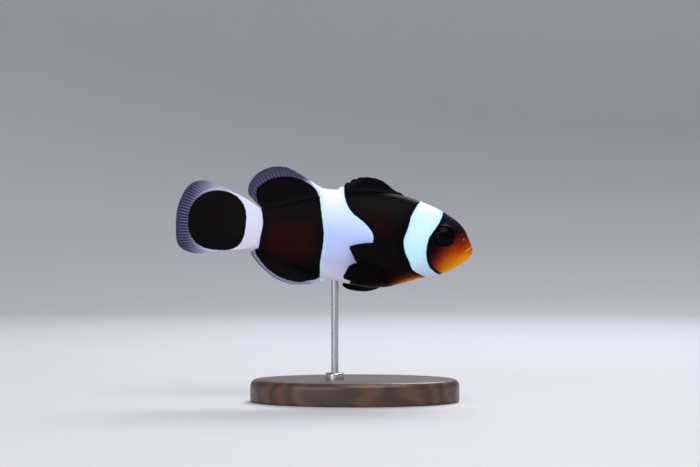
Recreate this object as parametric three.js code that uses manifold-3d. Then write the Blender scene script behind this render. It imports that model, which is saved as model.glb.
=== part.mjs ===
// A false clown anemonefish (Amphiprion ocellaris, black form) as a life-size
// still model on a plain display stand. Millimetres, +Z up, head towards +X,
// the fish's left side towards +Y, origin at the middle of the stand's underside.
//
// The fish is drawn in its own level frame: s runs back from the snout, h up
// and w to its left. The finished fish is then tipped nose-down onto the rod.

import * as THREE from "three";
import { mergeVertices } from "three/addons/utils/BufferGeometryUtils.js";
import Module from "manifold-3d";

const wasm = await Module();
wasm.setup();

// ---- driving dimensions ----------------------------------------------------

const SNOUT = { x: 26, z: 33.7 };          // where the tip of the snout is held
const PITCH = THREE.MathUtils.degToRad(5.4);
const CUT = 0.3;                           // width of the thin cuts between parts

const RING_POINTS = 26;                    // points round one section of the body
const BODY_END = 50.2;                     // s of the rounded end of the tail stem
const TIP_DISC = 0.45;                     // snout's end disc against the first section

// Body outlines as stations [s, value], read along the square root of s so that
// the snout comes out round.
const BACK = [[0, -0.4], [0.05, -0.05], [0.3, 0.5], [1, 1.95], [2, 3.7], [3.4, 5.25], [5.5, 6.6],
  [8, 7.8], [10.5, 8.7], [14, 9.7], [18, 10.4], [22, 10.6], [26, 10.3], [30, 9.6], [34, 8.55],
  [38, 7.35], [42, 6.05], [45, 5.05], [47, 4.45], [49.5, 3.9], [BODY_END, 2.6]];
const BELLY = [[0, -0.4], [0.1, -1.15], [0.5, -2.05], [1.5, -3.15], [3.5, -4.6], [5.6, -5.9],
  [7.8, -6.85], [10, -7.4], [12, -8.05], [15.2, -9.3], [18.5, -10.3], [22, -10.7], [26, -10.4],
  [30, -9.9], [33.4, -9.5], [36.3, -8.7], [40, -7.25], [43.4, -5.7], [46.5, -4.65],
  [49.5, -4.1], [BODY_END, -2.9]];
const HALF_WIDTH = [[0, 0], [0.1, 0.75], [0.5, 1.4], [1.5, 2.1], [3.4, 2.95], [5.5, 3.6],
  [8, 4.15], [11, 4.7], [14.5, 5.05], [18, 5.1], [22, 4.95], [26, 4.6], [30, 4.05], [34, 3.35],
  [38, 2.65], [42, 2.0], [45, 1.55], [47.5, 1.2], [49.5, 0.9], [BODY_END, 0.5]];
const WIDEST_AT = [[0, -0.4], [3, -0.6], [8, -1.0], [15, -0.9], [25, -0.3], [38, -0.1], [BODY_END, -0.1]];
const ROUNDNESS = { above: 1.9, below: 2.1 };   // superellipse powers over and under the widest line

const EYE = { s: 6.7, h: 2.0, radius: 2.7, depth: 1.5, proud: 0.7, turnForward: 12, turnUp: 8 };

// Seams, as lines [s, h] across the side of the fish.
const GILL_EDGE = [[12.4, 12], [13.2, 8.6], [14.5, 5.6], [15.2, 2.6], [15.6, -0.3], [14.9, -3],
  [13.5, -5.6], [11.6, -7.2], [9.5, -10]];
const CHEEK_EDGE = [[11.2, 5.2], [10.6, 3.4], [10.4, 0.5], [10.5, -2.4], [10.1, -4.2], [9.4, -5.6]];
const TAIL_SEAM = 37.6;                    // s of the cut between trunk and tail stem
const OUTSIDE = 16;                        // a height or depth clear of the whole fish
const MOUTH = [[-1, 0.65], [0.5, 0.43], [1.8, -0.57]];
const JAW_REAR = [[1.8, -0.57], [2.5, -2.4], [4.3, -6.5]];
const COVER_THICKNESS = 1.3;

// Fins: the line of their ray tips [s, h] and where their rays start.
const SPINY_TIPS = [[16, 10.4], [17.2, 10.75], [18.5, 11.2], [20, 12.25], [21.4, 13], [23, 13.4],
  [25, 13.45], [26.8, 13.1], [28.4, 12.3], [29.4, 11.5], [30.9, 10.15]];
const SOFT_TIPS = [[31.5, 10.05], [34.2, 10.15], [36.8, 11.4], [39.8, 12.9], [42.9, 14], [46.2, 13.55],
  [48.8, 11.95], [50.2, 9.9], [50.5, 8.5], [50.3, 7.2]];
const ANAL_TIPS = [[31.6, -10.05], [33.4, -10.62], [35.5, -11.18], [38.3, -11.55], [41.2, -11.15],
  [43.8, -10.05], [46, -8.45], [47.5, -7.05], [48.35, -6.1], [48.7, -5.35]];
const TAIL_TIPS = [[57, 8.75], [59.6, 9.4], [62.2, 9], [64, 7.5], [65, 5.3], [65.6, 2.9], [65.7, 0.4],
  [65.5, -2], [65, -4.6], [63.7, -6.05], [61.2, -6.8], [58.4, -6.4]];
const PECTORAL_TIPS = [[25.4, -1.45], [27.1, -2.1], [26.6, -3.3], [25.9, -4.5], [25.2, -5.5],
  [24, -6.2], [22, -6.6], [20, -6.3]];
const SPINY_ROOTS = { first: 15.2, last: 30.5 };
const SOFT_ROOTS = { first: 31.1, last: 46 };
const ANAL_ROOTS = { first: 30.7, last: 45.9 };
const FIN = { rootDepth: 1.3, rootThick: 0.9, tipThick: 0.5 };
const TAIL_FLESH = { thick: 1, reach: 0.22 };   // flesh over the tail fin's root, and its share of the rays
const SWAY = { spiny: 0.2, soft: 0.5, anal: -0.4, tail: 0.8 };   // sideways sweep of the fin edges

// The stand.
const BASE = { length: 46, width: 30, thick: 5, foot: 0.6, chamfer: 1.5 };
const ROD = { x: -4.4, radius: 0.8, socket: 3 };
const COLLAR = { radius: 2.1, height: 1.4 };

// ---- materials ---------------------------------------------------------------

function material(colour, roughness, metalness = 0) {
  return new THREE.MeshStandardMaterial({ color: colour, roughness, metalness });
}
const ORANGE_SKIN = material("#c9661c", 0.45);
const BLACK_SKIN = material("#150c0e", 0.45);
const BLACK_FIN = material("#0d0a10", 0.5);
const EYE_SURFACE = material("#120908", 0.1);
const DARK_WOOD = material("#3a2619", 0.55);
const STEEL = material("#b9bcc0", 0.3, 1);

// ---- curves and solids ---------------------------------------------------------

// A smooth function through stations [s, value], worked along the square root of s.
function profile(stations) {
  const q = stations.map(([s]) => Math.sqrt(s));
  const y = stations.map(([, value]) => value);
  const chord = (i) => (y[i + 1] - y[i]) / (q[i + 1] - q[i]);
  const slope = y.map((_, i) => {
    if (i === 0) return chord(0);
    if (i === y.length - 1) return chord(i - 1);
    return (y[i + 1] - y[i - 1]) / (q[i + 1] - q[i - 1]);
  });
  return (s) => {
    const at = Math.sqrt(Math.max(s, 0));
    let i = 0;
    while (i < q.length - 2 && at > q[i + 1]) i += 1;
    const span = q[i + 1] - q[i];
    const t = THREE.MathUtils.clamp((at - q[i]) / span, 0, 1);
    const a = y[i] * (1 + 2 * t) * (1 - t) ** 2 + y[i + 1] * t * t * (3 - 2 * t);
    return a + span * t * (1 - t) * (slope[i] * (1 - t) - slope[i + 1] * t);
  };
}
const back = profile(BACK);
const belly = profile(BELLY);
const halfWidth = profile(HALF_WIDTH);
const widestAt = profile(WIDEST_AT);

// A point of the fish frame as a vector: forward is +X, left +Y and up +Z.
const place = (s, w, h) => new THREE.Vector3(-s, w, h);
const line = (stations) => new THREE.SplineCurve(stations.map(([s, h]) => new THREE.Vector2(s, h)));

// Triangles to an outward-facing geometry with shared vertices.
function closedGeometry(points, faces) {
  const geometry = new THREE.BufferGeometry();
  geometry.setAttribute("position", new THREE.Float32BufferAttribute(points.flatMap((p) => p.toArray()), 3));
  const volume = faces.reduce((sum, [a, b, c]) =>
    sum + points[a].dot(new THREE.Vector3().crossVectors(points[b], points[c])), 0);
  geometry.setIndex(faces.flatMap(([a, b, c]) => (volume > 0 ? [a, b, c] : [a, c, b])));
  return geometry;
}

// Closed rings joined one to the next, with a point at the middle of each end.
function loft(rings) {
  const around = rings[0].length;
  const points = rings.flat();
  const faces = [];
  for (let r = 0; r < rings.length - 1; r += 1) {
    for (let k = 0; k < around; k += 1) {
      const a = r * around + k;
      const b = r * around + ((k + 1) % around);
      faces.push([a, b, b + around], [a, b + around, a + around]);
    }
  }
  for (const [r, flip] of [[0, true], [rings.length - 1, false]]) {
    const middle = new THREE.Vector3();
    rings[r].forEach((p) => middle.addScaledVector(p, 1 / around));
    points.push(middle);
    for (let k = 0; k < around; k += 1) {
      const pair = [r * around + k, r * around + ((k + 1) % around)];
      faces.push(flip ? [pair[1], pair[0], points.length - 1] : [...pair, points.length - 1]);
    }
  }
  return closedGeometry(points, faces);
}

// A thickened sheet: surface(u, v) gives the middle, thickness(v, u) its full depth.
function sheet(surface, thickness, across, along) {
  const columns = across + 1;
  const count = columns * (along + 1);
  const front = [];
  const rear = [];
  const step = 1e-3;
  for (let j = 0; j <= along; j += 1) {
    for (let i = 0; i <= across; i += 1) {
      const u = THREE.MathUtils.clamp(i / across, step, 1 - step);
      const v = THREE.MathUtils.clamp(j / along, step, 1 - step);
      const du = surface(u + step, v).sub(surface(u - step, v));
      const dv = surface(u, v + step).sub(surface(u, v - step));
      const normal = du.cross(dv).normalize().multiplyScalar(thickness(j / along, i / across) / 2);
      const middle = surface(i / across, j / along);
      front.push(middle.clone().add(normal));
      rear.push(middle.clone().sub(normal));
    }
  }
  const faces = [];
  const quad = (a, b, c, d) => faces.push([a, b, c], [a, c, d]);
  for (let j = 0; j < along; j += 1) {
    for (let i = 0; i < across; i += 1) {
      const a = j * columns + i;
      const d = a + columns;
      quad(a, a + 1, d + 1, d);
      quad(count + a, count + d, count + d + 1, count + a + 1);
    }
  }
  const rim = [];
  for (let i = 0; i < across; i += 1) rim.push(i);
  for (let j = 0; j < along; j += 1) rim.push(j * columns + across);
  for (let i = across; i > 0; i -= 1) rim.push(along * columns + i);
  for (let j = along; j > 0; j -= 1) rim.push(j * columns);
  rim.forEach((a, k) => {
    const b = rim[(k + 1) % rim.length];
    quad(b, a, count + a, count + b);
  });
  return closedGeometry([...front, ...rear], faces);
}

// The prism between two lines across the fish's side, right through the body.
function prism(outline) {
  const shape = new THREE.Shape(outline.map(([s, h]) => new THREE.Vector2(-s, h)));
  const reach = 24;
  const geometry = new THREE.ExtrudeGeometry(shape, { depth: reach, bevelEnabled: false });
  return geometry.translate(0, 0, -reach / 2).rotateX(Math.PI / 2);
}

const along = (stations, count) => line(stations).getSpacedPoints(count).map((p) => [p.x, p.y]);
const shifted = (points, ds, dh = 0) => points.map(([s, h]) => [s + ds, h + dh]);

// ---- joins and cuts --------------------------------------------------------------

function solid(geometry) {
  const bare = geometry.clone();
  bare.deleteAttribute("normal");
  bare.deleteAttribute("uv");
  const merged = mergeVertices(bare, 1e-5);
  const vertProperties = new Float32Array(merged.attributes.position.array);
  const triVerts = new Uint32Array(merged.index.array);
  return new wasm.Manifold(new wasm.Mesh({ numProp: 3, vertProperties, triVerts }));
}

function geometryOf(body) {
  const { vertProperties, triVerts } = body.getMesh();
  const geometry = new THREE.BufferGeometry();
  geometry.setAttribute("position", new THREE.BufferAttribute(new Float32Array(vertProperties), 3));
  geometry.setIndex(new THREE.BufferAttribute(new Uint32Array(triVerts), 1));
  return geometry;
}

// ---- the body -----------------------------------------------------------------------

// The skin surface at s, a turns round from the back over the left side.
function skinPoint(s, a, grow) {
  const up = Math.cos(2 * Math.PI * a);
  const out = Math.sin(2 * Math.PI * a);
  const power = 2 / (up > 0 ? ROUNDNESS.above : ROUNDNESS.below);
  const reach = up > 0 ? back(s) + grow - widestAt(s) : widestAt(s) - belly(s) + grow;
  const w = Math.sign(out) * Math.abs(out) ** power * Math.max(halfWidth(s) + grow, 0.05);
  return place(s, w, widestAt(s) + Math.sign(up) * Math.abs(up) ** power * Math.max(reach, 0.05));
}

// The whole body, grown or shrunk evenly by a margin. Sections crowd towards the
// snout, which ends in a small flat disc; a grown body also reaches past both ends.
function bodySolid(grow, rings = 32) {
  const sections = [];
  for (let r = 1; r <= rings; r += 1) {
    const s = BODY_END * (r / rings) ** 1.6;
    const section = [];
    for (let k = 0; k < RING_POINTS; k += 1) section.push(skinPoint(s, k / RING_POINTS, grow));
    sections.push(section);
  }
  const over = Math.max(grow, 0);
  const tip = widestAt(0);
  sections.unshift(sections[0].map((p) => place(-over, p.y * TIP_DISC, tip + (p.z - tip) * TIP_DISC)));
  if (over > 0) sections.push(sections.at(-1).map((p) => p.clone().setX(-BODY_END - over)));
  return solid(loft(sections));
}
const body = bodySolid(0);
const bodyClear = bodySolid(CUT);

// Distance from the middle plane to the skin at a place on the side.
function sideAt(s, h) {
  const above = h > widestAt(s);
  const power = above ? ROUNDNESS.above : ROUNDNESS.below;
  const reach = above ? back(s) - widestAt(s) : widestAt(s) - belly(s);
  return halfWidth(s) * Math.max(1 - (Math.abs(h - widestAt(s)) / reach) ** power, 0) ** (1 / power);
}

// ---- eyes ------------------------------------------------------------------------------

function eyeGeometry(side, grow) {
  const ball = new THREE.SphereGeometry(1, 18, 10);
  ball.rotateX(Math.PI / 2);
  ball.scale(EYE.radius + grow, EYE.depth + grow, EYE.radius + grow);
  ball.rotateX(side * THREE.MathUtils.degToRad(EYE.turnUp));
  ball.rotateZ(-side * THREE.MathUtils.degToRad(EYE.turnForward));
  const middle = sideAt(EYE.s, EYE.h) + EYE.proud - EYE.depth;
  return ball.translate(-EYE.s, side * middle, EYE.h);
}

// ---- body parts by thin cuts --------------------------------------------------------------

const gillEdge = along(GILL_EDGE, 14);
const aheadOfGill = solid(prism([...shifted(gillEdge, -CUT / 2), [-OUTSIDE, -10], [-OUTSIDE, 12]]));
const trunkEnd = TAIL_SEAM - CUT / 2;
const behindGill = solid(prism([...shifted(gillEdge, CUT / 2), [trunkEnd, -OUTSIDE], [trunkEnd, OUTSIDE]]));

// The front lower corner of the head, under the mouth line, drawn in by a margin.
function jawRegion(margin) {
  const lip = along(MOUTH, 4);
  const rear = along(JAW_REAR, 4).slice(1);
  return solid(prism([...shifted(lip, 0, -margin), ...shifted(rear, -margin), [-OUTSIDE, -8]]));
}

// An outline drawn clockwise round (s right, h up), moved outwards by a margin.
function grownOutline(points, margin) {
  const normal = ([s0, h0], [s1, h1]) => new THREE.Vector2(h0 - h1, s1 - s0).normalize();
  return points.map(([s, h], i) => {
    const before = normal(points.at(i - 1), points[i]);
    const after = normal(points[i], points[(i + 1) % points.length]);
    const corner = margin / (1 + before.dot(after));
    return [s + (before.x + after.x) * corner, h + (before.y + after.y) * corner];
  });
}

function coverRegion(margin, thickness) {
  const cheek = along(CHEEK_EDGE, 8).reverse();
  const edge = shifted(gillEdge.filter(([, h]) => h < 5.6 && h > -5.8), 1);
  return solid(prism(grownOutline([...cheek, ...edge], margin))).subtract(bodySolid(-thickness, 24));
}

function headSolid() {
  let head = body.intersect(aheadOfGill).subtract(jawRegion(0));
  head = head.subtract(coverRegion(CUT, COVER_THICKNESS + CUT));
  for (const side of [-1, 1]) head = head.subtract(solid(eyeGeometry(side, CUT)));
  return head;
}

function coverSolid(side) {
  const cover = body.intersect(aheadOfGill).intersect(coverRegion(0, COVER_THICKNESS));
  const half = new THREE.BoxGeometry(40, 12, 40).translate(-10, side * 6.5, 0);
  return cover.intersect(solid(half));
}

const jawSolid = () => body.intersect(jawRegion(CUT));
const trunkSolid = () => body.intersect(behindGill);

function tailStemSolid() {
  const front = TAIL_SEAM + CUT / 2;
  const rear = BODY_END + 1;
  const region = prism([[front, OUTSIDE], [front, -OUTSIDE], [rear, -OUTSIDE], [rear, OUTSIDE]]);
  return body.intersect(solid(region));
}

// ---- fins ---------------------------------------------------------------------------------------

const taper = (v) => THREE.MathUtils.lerp(FIN.rootThick, FIN.tipThick, v);

// A fin on the middle line: roots run under the back or belly, tips along a line.
function middleFin({ tips, roots, edge, inward, across, sway }) {
  const margin = line(tips);
  const surface = (u, v) => {
    const tip = margin.getPointAt(u);
    const s = THREE.MathUtils.lerp(roots.first, roots.last, u);
    const at = new THREE.Vector2(s, edge(s) + inward).lerp(tip, v);
    return place(at.x, sway * v * v * Math.sin(2 * Math.PI * u), at.y);
  };
  return solid(sheet(surface, taper, across, 3)).subtract(bodyClear);
}

const spinyFin = () => middleFin({ tips: SPINY_TIPS, roots: SPINY_ROOTS, edge: back,
  inward: -FIN.rootDepth, across: 20, sway: SWAY.spiny });
const softFin = () => middleFin({ tips: SOFT_TIPS, roots: SOFT_ROOTS, edge: back,
  inward: -FIN.rootDepth, across: 22, sway: SWAY.soft });
const analFin = () => middleFin({ tips: ANAL_TIPS, roots: ANAL_ROOTS, edge: belly,
  inward: FIN.rootDepth, across: 16, sway: SWAY.anal });

// The tail fin's rays fan from the end of the tail stem.
function tailFin() {
  const margin = line(TAIL_TIPS);
  const surface = (u, v) => {
    const tip = margin.getPointAt(u);
    const fan = 1 - 2 * u;
    const root = new THREE.Vector2(49.2 - 2 * fan ** 4, 4.2 * fan - 0.05);
    const at = root.lerp(tip, v);
    const swell = 0.45 * Math.max(fan, 0) ** 5 * Math.sin(Math.PI * Math.min(1.3 * v, 1));
    return place(at.x, SWAY.tail * v * v * Math.cos(Math.PI * u), at.y + swell);
  };
  const thickness = (v, u) => taper(v)
    + TAIL_FLESH.thick * Math.sqrt(Math.max(1 - (1 - 2 * u) ** 2, 0)) * Math.exp(-((v / TAIL_FLESH.reach) ** 2));
  return solid(sheet(surface, thickness, 26, 6)).subtract(bodyClear);
}

// A paired fin: root and tip lines in space, bulging a little outwards.
function pairedFin({ roots, tips, out, side, bulge, lift = 0 }) {
  const rootLine = line(roots);
  const tipLine = line(tips);
  const surface = (u, v) => {
    const root = rootLine.getPointAt(u);
    const tip = tipLine.getPointAt(u);
    const rootOut = sideAt(root.x, root.y) - 0.3;
    const w = THREE.MathUtils.lerp(rootOut, out(u), v) + bulge * Math.sin(Math.PI * v);
    const h = THREE.MathUtils.lerp(root.y, tip.y, v) + lift * Math.sin(Math.PI * v) * (1 - u);
    return place(THREE.MathUtils.lerp(root.x, tip.x, v), side * w, h);
  };
  return solid(sheet(surface, taper, 11, 4)).subtract(bodyClear);
}

const PECTORAL_ROOTS = [[16.5, -1.5], [16.9, -3.2], [16.5, -4.9]];
const pectoralFin = (side, spread) => pairedFin({
  roots: PECTORAL_ROOTS, tips: PECTORAL_TIPS, side, bulge: 0.35, lift: 0.75,
  out: (u) => 5.7 + spread - 1.2 * u });

// The right pelvic fin is lifted along the flank, the left one hangs lower.
const RIGHT_PELVIC = {
  roots: [[17.3, -8.4], [18.6, -9.2], [20.2, -9.9]],
  tips: [[25.5, -5.5], [26.7, -6.2], [27.4, -7.6], [27.8, -9], [26, -9.6]],
  out: (u) => 7.2 - 3.4 * u, side: -1, bulge: 1.1, lift: 0.9 };
const LEFT_PELVIC = {
  roots: [[17.3, -8.8], [18.6, -9.5], [20.2, -10.1]],
  tips: [[22.8, -11.8], [24.8, -11.85], [26.6, -11.6], [27.7, -11], [27.9, -10.3]],
  out: (u) => 6 - 2.6 * u, side: 1, bulge: 0.4, lift: -0.6 };

// ---- stand -----------------------------------------------------------------------------------------

function roundSolid(profilePoints, segments) {
  const points = profilePoints.map(([r, z]) => new THREE.Vector2(r, z));
  return new THREE.LatheGeometry(points, segments).rotateX(Math.PI / 2);
}

function standBase() {
  const r = BASE.length / 2;
  const top = BASE.thick;
  const plate = roundSolid([[0, 0], [r - BASE.foot, 0], [r, BASE.foot], [r, top - BASE.chamfer],
    [r - BASE.chamfer * 0.3, top - BASE.chamfer * 0.3], [r - BASE.chamfer, top], [0, top]], 48);
  plate.scale(1, BASE.width / BASE.length, 1);
  const hole = new THREE.CylinderGeometry(ROD.radius + CUT, ROD.radius + CUT, ROD.socket * 2, 20);
  hole.rotateX(Math.PI / 2).translate(ROD.x, 0, BASE.thick);
  return solid(plate).subtract(solid(hole));
}

function standCollar() {
  const inner = ROD.radius + CUT;
  const { radius, height } = COLLAR;
  return roundSolid([[inner, 0], [radius, 0], [radius, height * 0.7], [radius - 0.4, height], [inner, height],
    [inner, 0]], 24).translate(ROD.x, 0, BASE.thick);
}

function standRod(fish) {
  const foot = BASE.thick - ROD.socket + CUT;
  const top = SNOUT.z;
  const rod = new THREE.CylinderGeometry(ROD.radius, ROD.radius, top - foot, 16);
  rod.rotateX(Math.PI / 2).translate(ROD.x, 0, (top + foot) / 2);
  const clear = geometryOf(bodyClear).applyMatrix4(fish.matrixWorld);
  return solid(rod).subtract(solid(clear));
}

// ---- the whole model ------------------------------------------------------------------------------------

function mesh(name, shape, surface) {
  const geometry = shape.isBufferGeometry ? shape : geometryOf(shape);
  const piece = new THREE.Mesh(geometry, surface);
  piece.name = name;
  return piece;
}

const fish = new THREE.Group();
fish.rotation.y = PITCH;
fish.position.set(SNOUT.x, 0, SNOUT.z);
fish.updateMatrixWorld(true);
fish.add(
  mesh("head", headSolid(), ORANGE_SKIN),
  mesh("lower_jaw", jawSolid(), ORANGE_SKIN),
  mesh("gill_cover_left", coverSolid(1), ORANGE_SKIN),
  mesh("gill_cover_right", coverSolid(-1), ORANGE_SKIN),
  mesh("eye_left", eyeGeometry(1, 0), EYE_SURFACE),
  mesh("eye_right", eyeGeometry(-1, 0), EYE_SURFACE),
  mesh("trunk", trunkSolid(), BLACK_SKIN),
  mesh("tail_stem", tailStemSolid(), BLACK_SKIN),
  mesh("tail_fin", tailFin(), BLACK_FIN),
  mesh("dorsal_fin_spiny", spinyFin(), BLACK_FIN),
  mesh("dorsal_fin_soft", softFin(), BLACK_FIN),
  mesh("anal_fin", analFin(), BLACK_FIN),
  mesh("pectoral_fin_left", pectoralFin(1, 0.9), BLACK_FIN),
  mesh("pectoral_fin_right", pectoralFin(-1, 0), BLACK_FIN),
  mesh("pelvic_fin_left", pairedFin(LEFT_PELVIC), BLACK_FIN),
  mesh("pelvic_fin_right", pairedFin(RIGHT_PELVIC), BLACK_FIN),
);

const model = new THREE.Group();
model.add(
  fish,
  mesh("stand_base", standBase(), DARK_WOOD),
  mesh("stand_collar", standCollar(), STEEL),
  mesh("stand_rod", standRod(fish), STEEL),
);

export default model;
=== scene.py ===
"""Looks of the clownfish on its stand.

Tables are in millimetres, in the fish's own level frame: s runs back from the
snout, w to the fish's left and h up. Meshes of the fish hold (-s, w, h), and
their objects carry the tilt and place of the finished fish.
"""
import math

import bpy
import numpy as np
from mathutils import Matrix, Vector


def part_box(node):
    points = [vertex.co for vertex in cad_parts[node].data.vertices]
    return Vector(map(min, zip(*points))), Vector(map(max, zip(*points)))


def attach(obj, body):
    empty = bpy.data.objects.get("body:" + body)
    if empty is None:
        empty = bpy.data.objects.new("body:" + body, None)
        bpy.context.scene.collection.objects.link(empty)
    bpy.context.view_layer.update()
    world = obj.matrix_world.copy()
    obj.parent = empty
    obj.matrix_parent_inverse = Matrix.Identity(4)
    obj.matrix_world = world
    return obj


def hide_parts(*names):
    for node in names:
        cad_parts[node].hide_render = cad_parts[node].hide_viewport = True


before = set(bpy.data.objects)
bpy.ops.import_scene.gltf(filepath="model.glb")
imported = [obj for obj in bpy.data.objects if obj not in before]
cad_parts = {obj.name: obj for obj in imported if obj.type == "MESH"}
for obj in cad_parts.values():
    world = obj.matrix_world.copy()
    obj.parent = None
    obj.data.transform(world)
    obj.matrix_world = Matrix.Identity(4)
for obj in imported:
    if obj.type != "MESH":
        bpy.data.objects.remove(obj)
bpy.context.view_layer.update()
MM = 0.001
rng = np.random.default_rng(7)

# ---- the fish's sizes ----

SNOUT = (26, 0, 33.7)
PITCH = 5.4
COAT = 0.08  # the skin lies this far inside the solids, under the scales
BODY_END = 50.2
CLOSE_FROM, CLOSE_OVER = 49.75, 0.4  # where the body's end rounds off
ROUND_ABOVE, ROUND_BELOW = 1.9, 2.1  # powers of the body's section, over and under its widest line
BACK = [(0, -0.4), (0.05, -0.05), (0.3, 0.5), (1, 1.95), (2, 3.7), (3.4, 5.25), (5.5, 6.6), (8, 7.8),
        (10.5, 8.7), (14, 9.7), (18, 10.4), (22, 10.6), (26, 10.3), (30, 9.6), (34, 8.55), (38, 7.35),
        (42, 6.05), (45, 5.05), (47, 4.45), (49.5, 3.9), (BODY_END, 2.6)]
BELLY = [(0, -0.4), (0.1, -1.15), (0.5, -2.05), (1.5, -3.15), (3.5, -4.6), (5.6, -5.9), (7.8, -6.85),
         (10, -7.4), (12, -8.05), (15.2, -9.3), (18.5, -10.3), (22, -10.7), (26, -10.4), (30, -9.9),
         (33.4, -9.5), (36.3, -8.7), (40, -7.25), (43.4, -5.7), (46.5, -4.65), (49.5, -4.1),
         (BODY_END, -2.9)]
HALF_WIDTH = [(0, 0), (0.1, 0.75), (0.5, 1.4), (1.5, 2.1), (3.4, 2.95), (5.5, 3.6), (8, 4.15),
              (11, 4.7), (14.5, 5.05), (18, 5.1), (22, 4.95), (26, 4.6), (30, 4.05), (34, 3.35),
              (38, 2.65), (42, 2.0), (45, 1.55), (47.5, 1.2), (49.5, 0.9), (BODY_END, 0.5)]
WIDEST = [(0, -0.4), (3, -0.6), (8, -1.0), (15, -0.9), (25, -0.3), (38, -0.1), (BODY_END, -0.1)]
EYE = dict(s=6.7, h=2.0, radius=2.7, depth=1.5, proud=0.7, forward=12, up=8)

# Lines across the side, from the top down.
GILL_EDGE = [(12.4, 12), (13.2, 8.6), (14.5, 5.6), (15.2, 2.6), (15.6, -0.3), (14.9, -3), (13.5, -5.6),
             (11.6, -7.2), (9.5, -10)]
CHEEK_EDGE = [(11.2, 5.2), (10.6, 3.4), (10.4, 0.5), (10.5, -2.4), (10.1, -4.2), (9.4, -5.6)]
MOUTH = [(-1, 0.65), (0.5, 0.43), (1.8, -0.57)]
LIP_FOLD = [(-0.6, 1.8), (0.6, 1.7), (1.6, 1.1), (2.4, 0.1), (2.7, -1)]
NOSTRILS = [(2.77, 2.9), (2.31, 1.77)]
UNDER_EYE = [(2.6, 0.3), (4.2, -1), (6.6, -1.5), (9, -0.8)]

# White bands between a front and a rear line; the tail stem's has a front line only.
HEAD_BAND = ([(6.9, 8.8), (7.1, 7.4), (7.4, 6), (7.8, 4.9), (8.7, 3.3), (9.7, 1.6), (10, 0.3), (10.15, -1.3),
              (10, -2.6), (9.6, -3.9), (9, -4.9), (7.9, -5.7), (6.7, -6.4), (5.4, -7.4)],
             [(12.3, 10.8), (12.8, 9.3), (13.4, 8.3), (13.9, 7.2), (14.5, 5.8), (14.8, 4), (15.1, 2.7),
              (15.5, 1.3), (15.65, -0.3), (15.3, -1.8), (14.7, -3.1), (14, -4.3), (13.4, -5.6),
              (12.6, -6.3), (11.3, -6.9), (9.6, -7.6)])
MID_BAND = ([(29.6, 14.2), (29.35, 11.3), (29.05, 9.1), (28.6, 7.8), (27.8, 6.3), (26.6, 5.1), (25.4, 4.3),
             (24.2, 3.5), (23, 2.4), (22.2, 1.3), (21.9, 0.2), (22.1, -2), (23, -4), (24, -6.5),
             (25.8, -9.3), (26.4, -12)],
            [(38.6, 12.6), (37.4, 11.4), (36.5, 10.4), (35.1, 9), (34.7, 7.4), (34, 4.2), (33.2, 0.5),
             (33.1, -2.4), (33.35, -5.7), (33.2, -9.5), (33.1, -12.5)])
TAIL_BAND = [(47.9, 7), (47.1, 4.7), (46.6, 3), (46.25, 0.8), (46.5, -1.4), (46.7, -3.6), (46.8, -4.6),
             (47, -7)]

RIM_IN = 0.22  # the white starts this far inside those lines

# Black parts of the fins that have a clear margin, and the tail's black disc.
SOFT_BLACK = [(33, 4), (35, 8.6), (35.6, 9.6), (37, 10.7), (39.3, 11.6), (41.6, 12), (43.8, 11.7),
              (45.9, 11), (47.5, 9.8), (48.5, 8.8), (48.6, 7.3), (48.1, 5.8), (47.1, 4.6), (45, 2)]
ANAL_BLACK = [(47.4, -2), (47.7, -5), (46.4, -7), (44.3, -8.9), (41.8, -10.25), (39.4, -10.85),
              (37.2, -11), (35.7, -10.5), (33.3, -9.7), (31, -6)]
TAIL_BLACK = dict(s0=56.8, h0=1.1, front=6.6, rear=6.25, up=6.4, down=6.75)

# Fins: ray tips and roots, as in the solids.
SPINY_TIPS = [(16, 10.4), (17.2, 10.75), (18.5, 11.2), (20, 12.25), (21.4, 13), (23, 13.4), (25, 13.45),
              (26.8, 13.1), (28.4, 12.3), (29.4, 11.5), (30.9, 10.15)]
SOFT_TIPS = [(31.5, 10.05), (34.2, 10.15), (36.8, 11.4), (39.8, 12.9), (42.9, 14), (46.2, 13.55),
             (48.8, 11.95), (50.2, 9.9), (50.5, 8.5), (50.3, 7.2)]
ANAL_TIPS = [(31.6, -10.05), (33.4, -10.62), (35.5, -11.18), (38.3, -11.55), (41.2, -11.15),
             (43.8, -10.05), (46, -8.45), (47.5, -7.05), (48.35, -6.1), (48.7, -5.35)]
TAIL_TIPS = [(57, 8.75), (59.6, 9.4), (62.2, 9), (64, 7.5), (65, 5.3), (65.6, 2.9), (65.7, 0.4),
             (65.5, -2), (65, -4.6), (63.7, -6.05), (61.2, -6.8), (58.4, -6.4)]
PECTORAL = dict(roots=[(16.5, -1.5), (16.9, -3.2), (16.5, -4.9)],
                tips=[(25.4, -1.45), (27.1, -2.1), (26.6, -3.3), (25.9, -4.5), (25.2, -5.5), (24, -6.2),
                      (22, -6.6), (20, -6.3)],
                bulge=0.35, lift=0.75, rays=16, columns=96, rows=22)
RIGHT_PELVIC = dict(roots=[(17.3, -8.4), (18.6, -9.2), (20.2, -9.9)],
                    tips=[(25.5, -5.5), (26.7, -6.2), (27.4, -7.6), (27.8, -9), (26, -9.6)],
                    out=(7.2, 3.8), side=-1, bulge=1.1, lift=0.9, rays=6, columns=60, rows=22)
LEFT_PELVIC = dict(roots=[(17.3, -8.8), (18.6, -9.5), (20.2, -10.1)],
                   tips=[(22.8, -11.8), (24.8, -11.85), (26.6, -11.6), (27.7, -11), (27.9, -10.3)],
                   out=(6, 3.4), side=1, bulge=0.4, lift=-0.6, rays=6, columns=60, rows=22)
ROOT_DEPTH = 1.3
TAIL_FLESH = dict(thick=0.82, reach=0.22)  # half thickness at the rays' root, and how far along it fades
FORKED, PARTED = (0.25, 0.125), (0.25, 0.0)  # rays that part twice, and rays that part once
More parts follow.
